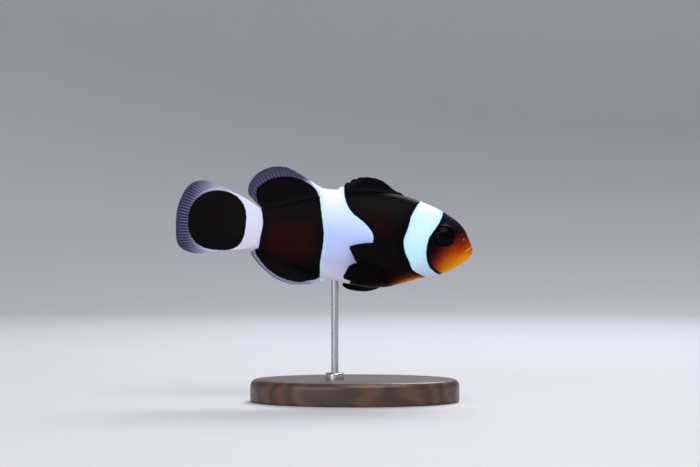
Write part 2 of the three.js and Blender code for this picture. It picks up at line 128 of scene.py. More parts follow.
MEMBRANE = 0.045  # half thickness between the rays
FAR = 5  # a distance that stands for well inside, or well outside
HEAD_ROWS, TRUNK_ROWS = 100, 56  # scales in a ring
MIDLINE_CLEAR = 0.32  # under the fins of the middle plane, no scale is rooted nearer to it

# ---- curves and fields ----


def ramp(x, low, high):
    t = np.clip((x - low) / (high - low), 0, 1)
    return t * t * (3 - 2 * t)


def hump(d, width):
    return np.exp(-(d / width) ** 2)


def profile(stations):
    """A smooth function through stations (s, value), worked along the square root of s."""
    q = np.sqrt([s for s, _ in stations])
    y = np.array([v for _, v in stations], float)
    chord = np.diff(y) / np.diff(q)
    slope = np.concatenate([chord[:1], (y[2:] - y[:-2]) / (q[2:] - q[:-2]), chord[-1:]])

    def at(s):
        x = np.sqrt(np.maximum(s, 0))
        i = np.searchsorted(q[1:-1], x)
        span = q[i + 1] - q[i]
        t = np.clip((x - q[i]) / span, 0, 1)
        value = y[i] * (1 + 2 * t) * (1 - t) ** 2 + y[i + 1] * t * t * (3 - 2 * t)
        return value + span * t * (1 - t) * (slope[i] * (1 - t) - slope[i + 1] * t)
    return at


back, belly, half_width, widest = map(profile, (BACK, BELLY, HALF_WIDTH, WIDEST))


def spline(stations, count=240):
    """Points evenly spaced along a Catmull-Rom curve through the stations."""
    p = np.array(stations, float)
    p = np.vstack([2 * p[0] - p[1], p, 2 * p[-1] - p[-2]])
    t = np.linspace(0, len(stations) - 1, 40 * len(stations))
    i = np.minimum(t.astype(int), len(stations) - 2)
    t = (t - i)[:, None]
    a, b, c, d = p[i], p[i + 1], p[i + 2], p[i + 3]
    curve = 0.5 * (2 * b + (c - a) * t + (2 * a - 5 * b + 4 * c - d) * t ** 2
                   + (3 * b - a - 3 * c + d) * t ** 3)
    length = np.concatenate([[0], np.cumsum(np.linalg.norm(np.diff(curve, axis=0), axis=1))])
    even = np.linspace(0, length[-1], count)
    return np.stack([np.interp(even, length, curve[:, k]) for k in (0, 1)], -1)


def behind(stations):
    """How far a point of the side lies behind a line that runs from top to bottom."""
    line = spline(stations)[::-1]
    slope = np.gradient(line[:, 0], line[:, 1])

    def at(s, h):
        k = np.interp(h, line[:, 1], slope)
        return (s - np.interp(h, line[:, 1], line[:, 0])) / np.sqrt(1 + k * k)
    return at


def from_segment(s, h, p, q):
    """A point's offset from the nearest point of a segment, and where that is along it."""
    d = q - p
    t = np.clip(((s - p[0]) * d[0] + (h - p[1]) * d[1]) / (d @ d), 0, 1)
    return s - p[0] - t * d[0], h - p[1] - t * d[1], t, d


def beside(stations):
    """Distance to a line across the side, positive on its upper side, and the share of its length."""
    line = spline(stations, 30)

    def at(s, h):
        best = np.full(np.broadcast(s, h).shape, 1e9)
        sign, share = np.ones_like(best), np.zeros_like(best)
        for i, (p, q) in enumerate(zip(line[:-1], line[1:])):
            x, y, t, d = from_segment(s, h, p, q)
            r = np.hypot(x, y)
            near = r < best
            best = np.where(near, r, best)
            sign = np.where(near, np.sign(d[0] * y - d[1] * x), sign)
            share = np.where(near, (i + t) / (len(line) - 1), share)
        return best * sign, share
    return at


def within(outline):
    """Distance to a closed outline of (s, h), positive inside."""
    line = spline([*outline, outline[0]], 120)

    def at(s, h):
        best, inside = np.full(s.shape, 1e9), np.zeros(s.shape, bool)
        for p, q in zip(line[:-1], line[1:]):
            x, y, _, d = from_segment(s, h, p, q)
            best = np.minimum(best, np.hypot(x, y))
            crosses = (p[1] > h) != (q[1] > h)
            reach = p[0] + (h - p[1]) * d[0] / (d[1] if abs(d[1]) > 1e-9 else 1e-9)
            inside ^= crosses & (s < reach)
        return np.where(inside, best, -best)
    return at


def oval(s, h, middle, size):
    """1 on an oval, less inside it."""
    return ((s - middle[0]) / size[0]) ** 2 + ((h - middle[1]) / size[1]) ** 2


# ---- the body's surface ----


def section(s, a):
    """The body's surface as (-s, w, h), a turns round from the back over the left side."""
    up, out = np.cos(2 * np.pi * a), np.sin(2 * np.pi * a)
    power = 2 / np.where(up > 0, ROUND_ABOVE, ROUND_BELOW)
    middle = widest(s)
    close = np.sqrt(np.clip(1 - (np.maximum(s - CLOSE_FROM, 0) / CLOSE_OVER) ** 2, 0, 1))
    reach = np.where(up > 0, back(s) - middle, middle - belly(s)) * close
    w = np.sign(out) * np.abs(out) ** power * half_width(s) * close
    return np.stack([-s + 0 * w, w, middle + np.sign(up) * np.abs(up) ** power * reach], -1)


GRID_S, GRID_F = 240, 360
table_s = BODY_END * np.linspace(0, 1, GRID_S + 1) ** 2
table_s[0] = 0.001
around = np.linspace(0, 1, 721)
steps = np.linalg.norm(np.diff(section(table_s[:, None], around[None]), axis=1), axis=2)
travel = np.concatenate([np.zeros((GRID_S + 1, 1)), np.cumsum(steps, 1)], 1)
girths = np.maximum(travel[:, -1], 1e-6)
girths[-4:] = girths[-5]
turns = np.stack([np.interp(np.linspace(0, 1, GRID_F + 1), t / t[-1], around) for t in travel[:-3]])
turns = np.vstack([turns, np.repeat(turns[-1:], 3, 0)])


def girth(s):
    return np.interp(s, table_s, girths)


def turn(s, f):
    """The angle, in turns, at a share f of the girth, so that steps of f are even steps round."""
    y = np.clip(np.sqrt(np.maximum(s, 0) / BODY_END) * GRID_S, 0, GRID_S - 1e-6)
    whole = np.floor(f)
    x = (f - whole) * GRID_F
    i, j = y.astype(int), np.minimum(x.astype(int), GRID_F - 1)
    y, x = y - i, x - j
    low = turns[i, j] * (1 - x) + turns[i, j + 1] * x
    high = turns[i + 1, j] * (1 - x) + turns[i + 1, j + 1] * x
    return whole + low * (1 - y) + high * y


behind_gill, behind_cheek = behind(GILL_EDGE), behind(CHEEK_EDGE)
by_mouth, by_fold, by_orbit = beside(MOUTH), beside(LIP_FOLD), beside(UNDER_EYE)


def relief(s, w, h):
    """How far the living surface stands off the smooth body."""
    side = ramp(np.abs(w), 0.6, 1.6)
    d = behind_gill(s, h)
    cover = 0.2 * hump(np.minimum(d, 0), 1.4) * ramp(d, 0.07, -0.07)
    groove = -0.13 * hump(np.maximum(d, 0), 0.7) * ramp(d, -0.07, 0.07)
    z = (cover + groove) * ramp(h, 8, 5.5) * ramp(h, -7.4, -6)
    d = behind_cheek(s, h)
    cheek = ramp(h, 5, 4) * ramp(h, -5.8, -4.8)
    z += (0.06 * hump(d + 0.3, 0.28) - 0.09 * hump(d - 0.12, 0.14)) * cheek
    r = np.hypot(s - EYE["s"], h - EYE["h"])
    z += side * (-1.1 * ramp(r, 2.3, 2.02) + 0.15 * hump(r - 2.64, 0.24) - 0.05 * hump(r - 3.2, 0.3))
    d, share = by_mouth(s, h)
    shut = ramp(share, 1, 0.9)
    z += shut * (-0.14 * hump(d, 0.08) + 0.07 * hump(d - 0.4, 0.24) + 0.05 * hump(d + 0.38, 0.24))
    d, share = by_fold(s, h)
    z -= 0.06 * hump(d, 0.13) * ramp(share, 1, 0.85)
    d, share = by_orbit(s, h)
    fade = ramp(share, 0, 0.12) * ramp(share, 1, 0.85)
    z += (0.06 * hump(d - 0.25, 0.3) - 0.06 * hump(d + 0.2, 0.16)) * fade
    for place in NOSTRILS:
        r = np.hypot(s - place[0], h - place[1])
        z += side * (0.1 * hump(r, 0.24) - 0.07 * hump(r, 0.09))
    z += side * 0.4 * np.exp(-oval(s, h, (16.7, -3.2), (1.1, 1.9)))  # swelling at the pectoral fin's root
    z += 0.2 * np.exp(-oval(s, h, (18.4, -9.3), (1.5, 0.8)))  # and at the pelvic fin's
    return z


def skin_at(s, f):
    """Points of the skin at s and a share f of the girth, and its normals."""
    e = 2e-3
    t = np.sqrt(np.maximum(s, 4e-4))
    p = section(s, turn(s, f))
    rear, front = (t + e) ** 2, (t - e) ** 2
    lengthwise = section(rear, turn(rear, f)) - section(front, turn(front, f))
    sideways = section(s, turn(s, f + e)) - section(s, turn(s, f - e))
    n = np.cross(sideways, lengthwise)
    n /= np.maximum(np.linalg.norm(n, axis=-1, keepdims=True), 1e-12)
    lift = relief(-p[..., 0], p[..., 1], p[..., 2]) - COAT
    return p + n * lift[..., None], n


# ---- markings, as distances that every mesh of the fish carries ----

head_front, head_rear = map(behind, HEAD_BAND)
mid_front, mid_rear = map(behind, MID_BAND)
tail_front = behind(TAIL_BAND)
in_soft_black, in_anal_black = within(SOFT_BLACK), within(ANAL_BLACK)


def bands(s, w, h):
    """Distances into the two bands and the white tail stem. The left side differs a little."""
    left = ramp(w, 0, 2.5)
    s = s + left * (0.35 * np.sin(0.55 * h + 1.2) + 0.2 * np.sin(1.3 * h))
    head = np.minimum(head_front(s, h), -head_rear(s, h))
    middle = np.minimum(mid_front(s, h), -mid_rear(s, h))
    return head - RIM_IN, middle - RIM_IN, tail_front(s, h) - RIM_IN


def band_maps(points):
    head, middle, tail = bands(-points[:, 0], points[:, 1], points[:, 2])
    return {"Bands": np.stack([head, middle], -1), "Tail": np.stack([tail, -FAR + 0 * tail], -1)}


# ---- meshes ----


def placed(name, data):
    ob = bpy.data.objects.new(name, data)
    bpy.context.scene.collection.objects.link(ob)
    return ob


def mesh_object(name, points, faces, maps=None):
    """An object from points (mm) and faces. A face is 4 corners, with -1 for none.

    Maps hold a pair for each point, or for each corner of each face.
    """
    faces = np.asarray(faces)
    used = faces >= 0
    corners = faces[used]
    me = bpy.data.meshes.new(name)
    me.vertices.add(len(points))
    me.vertices.foreach_set("co", (np.asarray(points, float) * MM).ravel())
    me.loops.add(len(corners))
    me.loops.foreach_set("vertex_index", corners.astype(np.int32))
    me.polygons.add(len(faces))
    me.polygons.foreach_set("loop_start", (np.cumsum(used.sum(1)) - used.sum(1)).astype(np.int32))
    me.polygons.foreach_set("use_smooth", np.ones(len(faces), bool))
    me.update(calc_edges=True)
    for key, values in (maps or {}).items():
        layer = me.uv_layers.new(name=key)
        values = np.asarray(values, float)
        flat = values[corners] if values.ndim == 2 else values[used]
        layer.uv.foreach_set("vector", flat.astype(np.float32).ravel())
    return placed(name, me)


def ring_quads(rows, columns, closed=False):
    """Quads between rings of points; closed joins the last ring to the first."""
    j, k = np.meshgrid(np.arange(rows if closed else rows - 1), np.arange(columns), indexing="ij")
    j, k = j.ravel(), k.ravel()
    k2, j2 = (k + 1) % columns, (j + 1) % rows
    return np.stack([j * columns + k, j * columns + k2, j2 * columns + k2, j2 * columns + k], 1)


def ring_caps(rows, columns):
    """Triangles from the first and last ring to the two points that follow the rings."""
    k = np.arange(columns)
    k2, none, pole = (k + 1) % columns, np.full(columns, -1), np.full(columns, rows * columns)
    last = (rows - 1) * columns
    return np.stack([k2, k, pole, none], 1), np.stack([last + k, last + k2, pole + 1, none], 1)


def sheet_places(rows, columns):
    """First corners of a sheet's quads, its rim's points in order, and the points after those."""
    c = columns + 1
    a = (np.arange(rows)[:, None] * c + np.arange(columns)).ravel()
    rim = np.concatenate([np.arange(columns), np.arange(rows) * c + columns,
                          rows * c + np.arange(columns, 0, -1), np.arange(rows, 0, -1) * c])
    return a, rim, np.roll(rim, -1)


def rotation(degrees, axis):
    return Matrix.Rotation(math.radians(degrees), 4, axis)


FISH = Matrix.Translation([c * MM for c in SNOUT]) @ rotation(PITCH, "Y")

# Places in the map for baking: left, bottom, width, height.
BAKE_BODY = (0.01, 0.01, 0.98, 0.59)
BAKE_FINS = {"dorsal": [(0.01, 0.62, 0.48, 0.11), (0.51, 0.62, 0.48, 0.11)]}
for i, key in enumerate(("tail", "anal", "pectoral_right", "pectoral_left", "pelvic_right", "pelvic_left")):
    BAKE_FINS[key] = [(0.01 + 0.165 * i, 0.75 + 0.125 * k, 0.155, 0.115) for k in (0, 1)]


def cell_map(cell, uv, inset=0.02):
    x, y, w, h = cell
    return [x, y] + (inset + (1 - 2 * inset) * uv) * [w, h]


def closed_sheet(name, at, half, columns, rows, maps):
    """A closed thin sheet; at(u, v) is its middle, half its half thickness, maps more values per point."""
    u, v = np.meshgrid(np.linspace(0, 1, columns + 1), np.linspace(0, 1, rows + 1))
    e = 1e-3
    uu, vv = np.clip(u, e, 1 - e), np.clip(v, e, 1 - e)
    du, dv = at(uu + e, vv) - at(uu - e, vv), at(uu, vv + e) - at(uu, vv - e)
    n = np.cross(du, dv)
    n /= np.maximum(np.linalg.norm(n, axis=-1, keepdims=True), 1e-12)
    middle = at(u, v)
    width = np.linalg.norm(du, axis=-1) / (2 * e)
    thick, fields = half(u, v, middle, width), maps(u, v, middle)
    points = np.concatenate([(middle + s * n * thick[..., None]).reshape(-1, 3) for s in (1, -1)])
    c = columns + 1
    count = c * (rows + 1)
    a, rim, after = sheet_places(rows, columns)
    front = np.stack([a, a + 1, a + c + 1, a + c], 1)
    edge = np.stack([after, rim, rim + count, after + count], 1)
    faces = np.vstack([front, front[:, ::-1] + count, edge])
    uv = np.stack([u, v], -1).reshape(-1, 2)
    near, far = BAKE_FINS[name]
    edge_map = np.stack([cell_map(near, uv[after]), cell_map(near, uv[rim]),
                         cell_map(near, uv[rim], 0), cell_map(near, uv[after], 0)], 1)
    bake = np.concatenate([cell_map(near, uv[front]), cell_map(far, uv[front[:, ::-1]]), edge_map])
    corner = [points[faces[:, k]] for k in range(4)]
    volume = np.cross(corner[1], corner[2]) + np.cross(corner[2], corner[3])
    if (corner[0] * volume).sum() < 0:
        faces, bake = faces[:, ::-1], bake[:, ::-1]
    fields = {k: np.tile(f.reshape(-1, 2), (2, 1)) for k, f in fields.items()}
    fields["OFBake"] = bake
    return mesh_object(name, points, faces, fields)


# ---- fins ----


def ray_gap(x, v, split):
    """Distance, in ray spacings, to the nearest ray; each ray may part in two, and in two again."""
    c = np.abs(x % 1 - 0.5)
    c = np.abs(c - split[0] * ramp(v, 0.3, 0.85))
    return np.abs(c - split[1] * ramp(v, 0.55, 1))


def follow(line, u):
    k = np.linspace(0, 1, len(line))
    return np.stack([np.interp(u, k, line[:, i]) for i in (0, 1)], -1)


def flare(amount, reach, outside):
    """Extra half thickness where a fin leaves the body, by the distance outside it."""
    return lambda u, v, p: amount * np.exp(-np.maximum(outside(u, v, p), 0) / reach)


def rayed(x_of, split, membrane, bony, root, rise=(0.1, 0.6)):
    """Half thickness of a fin: membrane, the rays that rise off it along v, and the flesh at its root."""
    def half(u, v, p, width):
        x = x_of(u)
        spacing = width / np.maximum(np.gradient(x, axis=1) / np.gradient(u, axis=1), 1e-3)
        gap = ray_gap(x, v, split) * spacing
        radius = np.minimum(bony * (1 - 0.5 * v) * (0.2 + 0.8 * ramp(v, *rise)), 0.36 * spacing)
        t = membrane + radius * np.sqrt(np.clip(1 - (gap / np.maximum(radius * 1.25, 1e-3)) ** 2, 0, 1))
        t = t + root(u, v, p)
        return t * (1 - 0.55 * ramp(v, 0.96, 1)) * (1 - 0.5 * ramp(np.abs(u - 0.5), 0.494, 0.5))
    return half


def fin_maps(x_of, split, fields):
    """The values that a fin's material reads, per point."""
    def maps(u, v, p):
        def pair(a, b):
            return np.stack([np.broadcast_to(a, u.shape), np.broadcast_to(b, u.shape)], -1)

        head, middle, tail, black, veil, pale = fields(u, -p[..., 0], p[..., 2])
        return {"Bands": pair(head, middle), "Tail": pair(tail, black), "Ray": pair(x_of(u), v),
                "Split": pair(*split), "Veil": pair(veil, pale)}
    return maps


def evenly(rays):
    return lambda u: rays * u


def scallop(x, depth):
    """How deep a fin's edge dips between its rays."""
    return depth * (2 * np.abs(x % 1 - 0.5)) ** 2


def along(root, tip, v, cut):
    """The point at a share v of the way from root to tip, where cut is taken off the tip."""
    tip = tip + (root - tip) * (cut / np.linalg.norm(tip - root, axis=-1))[..., None]
    return root + (tip - root) * v[..., None]


def middle_fin(name, roots, tips, sway, x_of, outside, fields, columns, rows, trim=np.zeros_like):
    """A fin in the middle plane. roots and tips are matching lines of points."""
    def at(u, v):
        p = along(follow(roots, u), follow(tips, u), v, trim(u))
        return np.stack([-p[..., 0], sway(u) * v * v, p[..., 1]], -1)

    half = rayed(x_of, FORKED, MEMBRANE, 0.1, flare(0.26, 0.4, outside))
    return closed_sheet(name, at, half, columns, rows, fin_maps(x_of, FORKED, fields))


SPINES, SOFT_RAYS = 10, 15
N_SPINY, N_SOFT, N_GAP = 110, 240, 5  # points along the dorsal fin's two parts and between them
join = N_SPINY / (N_SPINY + N_SOFT + N_GAP)  # share of the dorsal fin that is spiny


def bridged(a, b):
    """Two lines joined by a few points across the gap between them."""
    gap = a[-1] + (b[0] - a[-1]) * np.linspace(0, 1, N_GAP + 2)[1:-1, None]
    return np.vstack([a, gap, b])


def root_line(edge, first, last, inward, count):
    s = np.linspace(first, last, count)
    return np.stack([s, edge(s) + inward], -1)


def dorsal_x(u):
    return np.where(u < join, SPINES * u / join, SPINES + SOFT_RAYS * (u - join) / (1 - join))


def dorsal_trim(u):
    """How deep the web is cut between the spines, deepest over the last ones."""
    share = u / join
    deep = 0.07 + 0.4 * hump(share - 0.84, 0.16)
    between = (2 * np.abs(dorsal_x(u) % 1 - 0.5)) ** 1.7
    front = 0.5 * ramp(share, 0.07, 0)
    return np.where(share < 1, deep * between * ramp(share, 1, 0.95) + front, 0.05 * between)


def dorsal_sway(u):
    share = np.where(u < join, u / join, (u - join) / (1 - join))
    return np.where(u < join, 0.2, 0.5) * np.sin(2 * np.pi * share)


def dorsal_fields(u, s, h):
    head, middle, _ = bands(s, 0, h)
    spiny = ramp(u, join + 0.01, join - 0.01)
    black = np.minimum(np.where(spiny > 0.5, FAR, in_soft_black(s, h)), -middle)
    pale = np.where(spiny > 0.5, 0.9 + 0.1 * ramp(s, 24, 29), 0.9 * ramp(s, 39, 35.5))
    return head, middle, -FAR, black, 0.78, pale


def make_dorsal():
    roots = bridged(root_line(back, 15.2, 30.5, -ROOT_DEPTH, N_SPINY),
                    root_line(back, 31.1, 46, -ROOT_DEPTH, N_SOFT))
    tips = bridged(spline(SPINY_TIPS, N_SPINY), spline(SOFT_TIPS, N_SOFT))
    return middle_fin("dorsal", roots, tips, dorsal_sway, dorsal_x,
                      lambda u, v, p: p[..., 2] - back(-p[..., 0]), dorsal_fields, 260, 24, dorsal_trim)


def make_anal():
    def fields(u, s, h):
        head, middle, _ = bands(s, 0, h)
        return head, middle, -FAR, in_anal_black(s, h), 0.78, 0.2 + 0.6 * ramp(s, 36, 33)

    return middle_fin("anal", root_line(belly, 30.7, 45.9, ROOT_DEPTH, 120), spline(ANAL_TIPS, 120),
                      lambda u: -0.4 * np.sin(2 * np.pi * u), evenly(13),
                      lambda u, v, p: belly(-p[..., 0]) - p[..., 2], fields, 110, 20)


def into_disc(s, h, s0, h0, front, rear, up, down):
    """Distance into an uneven disc, by how far it reaches each way from (s0, h0)."""
    fore, low = s < s0, h < h0
    x = np.abs(s - s0) / np.where(fore, front, rear)
    z = np.abs(h - h0) / np.where(low, down, up)
    power = 2.3 + 0.8 * (fore & low) - 0.3 * (~fore & ~low)
    return (1 - (x ** power + z ** power) ** (1 / power)) * up


def make_tail():
    """The tail fin's rays fan from the end of the tail stem."""
    tips = spline(TAIL_TIPS, 200)
    x_of = evenly(20)

    def at(u, v):
        t, k = follow(tips, u), 1 - 2 * u
        r = np.stack([49.2 - 2 * k ** 4, 4.2 * k - 0.05], -1)
        p = along(r, t, v, scallop(2 * x_of(u), 0.09))
        swell = 0.45 * np.maximum(k, 0) ** 5 * np.sin(np.pi * np.minimum(1.3 * v, 1))
        return np.stack([-p[..., 0], 0.8 * v * v * np.cos(np.pi * u), p[..., 1] + swell], -1)

    def fields(u, s, h):
        white = np.maximum((53.8 - s) * 0.5, (55.6 - s) * 0.08)
        return -FAR, -FAR, white, into_disc(s, h, **TAIL_BLACK), 0.84, 0.8 * ramp(s, 63.5, 54.5)

    def flesh(u, v, p):
        fade = np.exp(-(v / TAIL_FLESH["reach"]) ** 2) * (0.6 + 0.4 * ramp(v, 0, 0.05))
        return TAIL_FLESH["thick"] * np.sqrt(np.clip(4 * u * (1 - u), 0, 1)) * fade

    half = rayed(x_of, PARTED, 0.05, 0.09, flesh, rise=(0.45, 0.85))
    return closed_sheet("tail", at, half, 200, 40, fin_maps(x_of, PARTED, fields))


def side_at(s, h):
    """Distance from the middle plane to the body's side."""
    above = h > widest(s)
    power = np.where(above, ROUND_ABOVE, ROUND_BELOW)
    reach = np.where(above, back(s) - widest(s), widest(s) - belly(s))
    return half_width(s) * np.maximum(1 - (np.abs(h - widest(s)) / reach) ** power, 0) ** (1 / power)


def make_paired(name, roots, tips, out, side, bulge, lift, rays, columns, rows):
    """A fin of one side; out is how far its first and last ray reach from the middle plane."""
    root, tip = spline(roots, 80), spline(tips, 160)
    x_of = evenly(rays)

    def at(u, v):
        r = follow(root, u)
        p = along(r, follow(tip, u), v, scallop(x_of(u), 0.08))
        reach = out[0] + (out[1] - out[0]) * u
        w = (side_at(r[..., 0], r[..., 1]) - 0.3) * (1 - v) + reach * v + bulge * np.sin(np.pi * v)
        h = p[..., 1] + lift * np.sin(np.pi * v) * (1 - u)
        return np.stack([-p[..., 0], side * w, h], -1)

    half = rayed(x_of, FORKED, MEMBRANE, 0.09, flare(0.22, 0.6, lambda u, v, p: v * 8 - 0.6))
    maps = fin_maps(x_of, FORKED, lambda u, s, h: (-FAR, -FAR, -FAR, FAR, 1, 0))
    return closed_sheet(name, at, half, columns, rows, maps)


# ---- one skin ----


def ring_places():
    s, places = 0.004, []
    while s < BODY_END - 0.6:
        places.append(s)
        s += min(0.03 + 0.012 * s, 0.12 if s < 17 else 0.3)
    return np.array([*places, *(BODY_END - 0.05 - 0.4 * np.cos(np.linspace(0.3, 1.45, 7)))])


def body_mesh(columns=192):
    places = ring_places()
    s, f = np.meshgrid(places, np.arange(columns + 1) / columns, indexing="ij")
    grid, _ = skin_at(s[:, :-1], f[:, :-1])
    rows = len(places)
    nose, end = grid[0].mean(0) + [0.004, 0, 0], grid[-1].mean(0) - [0.02, 0, 0]
    points = np.vstack([grid.reshape(-1, 3), nose, end])
    faces = np.vstack([np.roll(ring_quads(rows, columns), -1, 1), *ring_caps(rows, columns)])
    share = places / BODY_END

    def bake(row, column):
        return cell_map(BAKE_BODY, np.stack([column / columns, share[np.minimum(row, rows - 1)]], -1), 0)

    j, k = np.meshgrid(np.arange(rows - 1), np.arange(columns), indexing="ij")
    corners = [bake(j, k + 1), bake(j + 1, k + 1), bake(j + 1, k), bake(j, k)]
    atlas = [np.stack(corners, -2).reshape(-1, 4, 2)]
    ring = np.arange(columns)
    for row, a, b, beyond in ((0, ring + 1, ring, -0.003), (rows - 1, ring, ring + 1, 0.003)):
        a, b = bake(ring * 0 + row, a), bake(ring * 0 + row, b)
        atlas.append(np.stack([a, b, (a + b) / 2 + [0, beyond], 0 * a], 1))
    zero = np.zeros((len(points), 2))
    maps = {"Ray": zero, "Split": zero, "Veil": zero + 1, "OFBake": np.concatenate(atlas)}
    return mesh_object("skin", points, faces, {**band_maps(points), **maps})


def number_faces(ob, surface):
    """Three empty places for materials, of which every face takes number surface."""
    for _ in range(3):
        ob.data.materials.append(None)
    ob.data.polygons.foreach_set("material_index", np.full(len(ob.data.polygons), surface, np.int32))


def unite(body, part):
    mod = body.modifiers.new("join", "BOOLEAN")
    mod.operation, mod.solver, mod.object = "UNION", "MANIFOLD", part
    bpy.context.view_layer.update()
    joined = bpy.data.meshes.new_from_object(body.evaluated_get(bpy.context.evaluated_depsgraph_get()))
    body.modifiers.clear()
    body.data = joined
    bpy.data.objects.remove(part)


skin = body_mesh()
number_faces(skin, 0)
FINS = [(make_dorsal(), 1), (make_anal(), 1), (make_tail(), 1),
        (make_paired("pectoral_right", out=(5.7, 4.5), side=-1, **PECTORAL), 2),
        (make_paired("pectoral_left", out=(6.6, 5.4), side=1, **PECTORAL), 2),
        (make_paired("pelvic_right", **RIGHT_PELVIC), 2), (make_paired("pelvic_left", **LEFT_PELVIC), 2)]
for part, surface in FINS:
    number_faces(part, surface)
    unite(skin, part)
skin.matrix_world = FISH

# ---- scales ----

PLATE_STEPS = [0, 0.3, 0.58, 0.82, 1]
PLATE_SIDE = len(PLATE_STEPS)  # points along each side of a scale
PLATE_THICK, PLATE_SUNK = 0.028, 0.02


def scale_coat(name, s0, f0, wide, long, lift):
    """Thin closed plates lying back over the skin, rooted at s0 and a share f0 of the girth."""
    x, y = np.meshgrid(np.linspace(-1, 1, PLATE_SIDE), PLATE_STEPS)
    width = np.interp(y, PLATE_STEPS, [0.66, 0.92, 1, 0.92, 0.66])
    y = y * (1 - 0.24 * x * x * y * y)
    n = len(s0)
    size = rng.uniform(0.95, 1.05, (n, 1, 1))
    s = s0[:, None, None] + y * long[:, None, None] * size
    f = f0[:, None, None] + x * width * wide[:, None, None] * size / 2 / girth(s)
    p, normal = skin_at(s, f)
    tilt = lift[:, None, None] * rng.uniform(0.85, 1.2, (n, 1, 1))
    z = -PLATE_SUNK + tilt * y ** 1.3 + 0.16 * tilt * (1 - x * x)
    top, low = (p + normal * d[..., None] for d in (z, z - PLATE_THICK))
    count = PLATE_SIDE ** 2
    points = np.concatenate([top.reshape(n, count, 3), low.reshape(n, count, 3)], 1).reshape(-1, 3)
    a, rim, after = sheet_places(PLATE_SIDE - 1, PLATE_SIDE - 1)
    upper = np.stack([a, a + PLATE_SIDE, a + PLATE_SIDE + 1, a + 1], 1)
    edge = np.stack([rim, after, after + count, rim + count], 1)
    faces = np.vstack([upper, upper[:, ::-1] + count, edge])
    faces = (faces[None] + 2 * count * np.arange(n)[:, None, None]).reshape(-1, 4)
    plate = np.tile(np.stack([x / 2 + 0.5, y], -1).reshape(-1, 2), (2 * n, 1))
    root = cell_map(BAKE_BODY, np.stack([f0 % 1, s0 / BODY_END], -1), 0)
    patch = np.repeat(root, 2 * count, 0) + (plate - 0.5) * 0.003
    ob = mesh_object(name, points, faces, {**band_maps(points), "Plate": plate, "OFBake": patch})
    ob.data.set_sharp_from_angle(angle=math.radians(50))
    ob.matrix_world = FISH
    return ob


def rows_of_scales(first, last, rows, pace):
    """Roots in a brick pattern, a share pace of a row's width apart: s, f, w, h and that width."""
    s, places, column = first, [], 0
    while s < last:
        f = (np.arange(rows) + 0.5 * (column % 2)) / rows
        places.append(np.stack([np.full(rows, s), f], 1))
        s += pace * girth(s) / rows
        column += 1
    s, f = np.concatenate(places).T
    p, _ = skin_at(s, f)
    return s, f, p[:, 1], p[:, 2], girth(s) / rows


def trunk_scales():
    s, f, w, h, row = rows_of_scales(8.5, 49.6, TRUNK_ROWS, 0.75)
    keep = (behind_gill(s, h) > 0.02) & (s + 1.5 * row < BODY_END + 0.3)
    under_fin = ((h > 5) & (s > 16.8) & (s < 47)) | ((h < -5) & (s > 30.5) & (s < 46.8))
    keep &= ~(under_fin & (np.abs(w) < MIDLINE_CLEAR))
    keep &= oval(s + 0.4, h, (16.9, -3.2), (0.9, 1.8)) > 1  # the pectoral fin's root
    keep &= oval(s + 0.4, h, (18.8, -9.3), (1.7, 0.7)) > 1  # the pelvic fin's root
    s, f, w, row = s[keep], f[keep], w[keep], row[keep]
    lift = (0.035 + 0.035 * row) * (0.25 + 0.75 * ramp(s + 1.5 * row, BODY_END + 0.3, BODY_END - 2.5))
    for name, part in (("scales_right", w < 0), ("scales_left", w >= 0)):
        yield scale_coat(name, s[part], f[part], row[part] * 1.26, row[part] * 1.55, lift[part])


def head_scales():
    s, f, _, h, row = rows_of_scales(4.6, 15.6, HEAD_ROWS, 0.78)
    crown = np.minimum(h - 4.6, s - 5.4)
    cheek = np.minimum(np.minimum(-1.7 - h, s - 5.6), h + 6.2)
    clear = np.maximum(np.maximum(crown, cheek), s - 9.1)
    clear = np.minimum(clear, np.maximum(h + 6.6, s - 10.8))
    clear = np.minimum(clear, np.hypot(s - EYE["s"], h - EYE["h"]) - 3.3)
    keep = (clear > 0) & (behind_gill(s + 1.5 * row, h) < -0.28)
    s, f, row, grown = s[keep], f[keep], row[keep], ramp(clear[keep], 0, 1.4)
    size = 0.75 + 0.25 * grown
    return scale_coat("scales_head", s, f, row * 1.25 * size, row * 1.6 * size,
                      (0.02 + 0.04 * row) * (0.3 + 0.7 * grown))


coat = [head_scales(), *trunk_scales()]

# ---- eyes ----

PUPIL_RISE = 0.06


def eyeball(name, side):
    """An eye in its own frame: the pupil looks along side * Y."""
    ring, spin = np.meshgrid(np.linspace(0, math.pi, 49)[1:-1], np.arange(72) / 72 * 2 * math.pi,
                             indexing="ij")
    r, y = EYE["radius"] * np.sin(ring), EYE["depth"] * np.cos(ring)
    y = y + PUPIL_RISE * hump(r, 0.8) * (np.cos(ring) > 0)
    points = np.stack([r * np.cos(spin), side * y, r * np.sin(spin)], -1).reshape(-1, 3)
    points = np.vstack([points, [0, side * (EYE["depth"] + PUPIL_RISE), 0], [0, -side * EYE["depth"], 0]])
    faces = np.vstack([ring_quads(*ring.shape), *ring_caps(*ring.shape)])
    if side > 0:
        faces = np.where(faces[:, 3:] >= 0, faces[:, [3, 2, 1, 0]], faces[:, [1, 0, 2, 3]])
    ob = mesh_object(name, points, faces)
    turned = rotation(-side * EYE["forward"], "Z") @ rotation(side * EYE["up"], "X")
    out = float(side_at(EYE["s"], EYE["h"])) + EYE["proud"] - EYE["depth"]
    middle = Matrix.Translation([-EYE["s"] * MM, side * out * MM, EYE["h"] * MM])
    ob.matrix_world = FISH @ middle @ turned
    return ob


eyes = {side: eyeball("eyeball_left" if side > 0 else "eyeball_right", side) for side in (1, -1)}

# ---- stand ----


